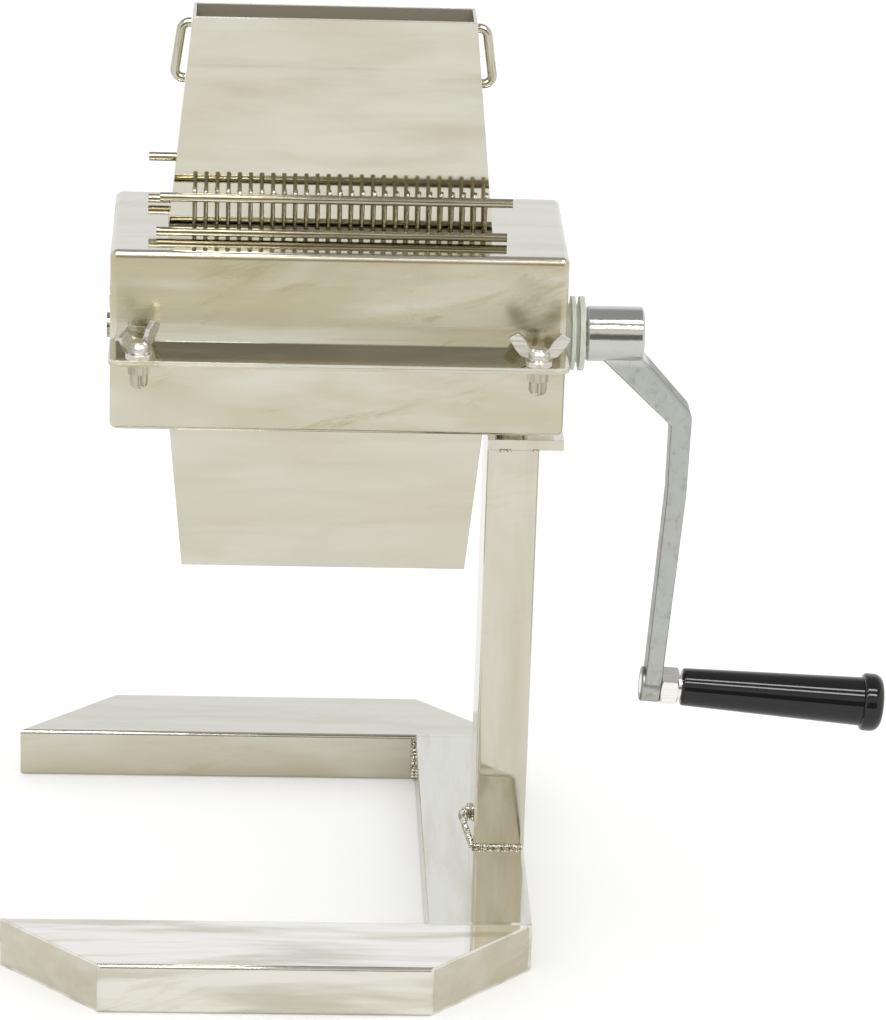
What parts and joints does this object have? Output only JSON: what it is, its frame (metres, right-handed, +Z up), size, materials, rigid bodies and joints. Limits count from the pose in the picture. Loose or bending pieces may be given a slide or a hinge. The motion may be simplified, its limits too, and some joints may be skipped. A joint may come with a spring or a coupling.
{
  "type": "hand cranked meat tenderizer",
  "caption": "Hand-cranked meat tenderizer: a hopper above two toothed knife rollers in a boxed head, on a post and an open tube base, with a long crank and an outlet below.",
  "frame": {"origin": "on the standing surface, under the post's axis, at the side beam's underside", "axes": "+Z up, +X towards the crank, +Y away from the front leg towards the rear leg"},
  "size_m": [0.429, 0.32, 0.4425],
  "materials": {
    "stainless": "mirror polished stainless sheet and tube",
    "bright_steel": "bright turned and plated steel",
    "cast_steel": "plated casting, hub polished",
    "nylon": "milky white nylon",
    "grip_plastic": "gloss black plastic"
  },
  "bodies": {
    "frame": {"base_front_leg": "stainless", "base_rear_leg": "stainless", "base_side_beam": "stainless", "base_end_caps": "stainless", "post": "stainless", "mounting_plate": "stainless", "mounting_bosses": "stainless", "mounting_screws": "bright_steel", "lower_housing": "stainless", "lower_chute": "stainless", "cap_nuts": "bright_steel", "bush_drive_left": "nylon", "bush_driven_left": "nylon", "bush_driven_right": "nylon", "crank_bush": "nylon"},
    "cover": {"cover": "stainless", "hopper": "stainless", "hopper_handle_left": "bright_steel", "hopper_handle_right": "bright_steel", "flange_washers": "bright_steel"},
    "front_comb": {"front_comb_tines": "stainless", "front_comb_upper_rod": "stainless", "front_comb_lower_rod": "stainless"},
    "rear_comb": {"rear_comb_tines": "stainless", "rear_comb_upper_rod": "stainless", "rear_comb_lower_rod": "stainless"},
    "crank": {"drive_shaft": "stainless", "drive_knives": "stainless", "drive_spacers": "stainless", "drive_gear": "stainless", "crank_arm": "cast_steel", "crank_set_screw": "bright_steel", "spindle": "bright_steel", "spindle_nut": "bright_steel"},
    "driven_roller": {"driven_shaft": "stainless", "driven_knives": "stainless", "driven_spacers": "stainless", "driven_gear": "stainless"},
    "grip": {"grip": "grip_plastic"},
    "wing_screw_front_left": {"wing_screw_front_left": "bright_steel"},
    "wing_screw_front_right": {"wing_screw_front_right": "bright_steel"},
    "wing_screw_rear_left": {"wing_screw_rear_left": "bright_steel"},
    "wing_screw_rear_right": {"wing_screw_rear_right": "bright_steel"}
  },
  "joints": [
    {"name": "crank_turn", "type": "hinge", "parent": "frame", "child": "crank", "pos_m": [0.021, -0.021, 0.2935], "axis": [1, 0, 0], "continuous": true},
    {"name": "driven_turn", "type": "hinge", "parent": "frame", "child": "driven_roller", "pos_m": [0.021, 0.021, 0.2935], "axis": [1, 0, 0], "continuous": true},
    {"name": "grip_spin", "type": "hinge", "parent": "crank", "child": "grip", "pos_m": [0.0714, -0.021, 0.1125], "axis": [0.9973, 0, -0.0732], "continuous": true},
    {"name": "cover_lift", "type": "slide", "parent": "frame", "child": "cover", "axis": [0, 0, 1], "range_m": [0, 0.08]},
    {"name": "front_comb_lift", "type": "slide", "parent": "cover", "child": "front_comb", "axis": [0, -0.3256, 0.9455], "range_m": [0, 0.075]},
    {"name": "rear_comb_lift", "type": "slide", "parent": "cover", "child": "rear_comb", "axis": [0, 0.3256, 0.9455], "range_m": [0, 0.075]},
    {"name": "wing_screw_front_left_turn", "type": "hinge", "parent": "cover", "child": "wing_screw_front_left", "pos_m": [-0.1788, -0.0681, 0.2935], "axis": [0, 0, 1], "continuous": true},
    {"name": "wing_screw_front_right_turn", "type": "hinge", "parent": "cover", "child": "wing_screw_front_right", "pos_m": [0.0075, -0.0681, 0.2935], "axis": [0, 0, 1], "continuous": true},
    {"name": "wing_screw_rear_left_turn", "type": "hinge", "parent": "cover", "child": "wing_screw_rear_left", "pos_m": [-0.1788, 0.0681, 0.2935], "axis": [0, 0, 1], "continuous": true},
    {"name": "wing_screw_rear_right_turn", "type": "hinge", "parent": "cover", "child": "wing_screw_rear_right", "pos_m": [0.0075, 0.0681, 0.2935], "axis": [0, 0, 1], "continuous": true}
  ],
  "couplings": [
    {"joint": "driven_turn", "follows": "crank_turn", "ratio": -1}
  ]
}
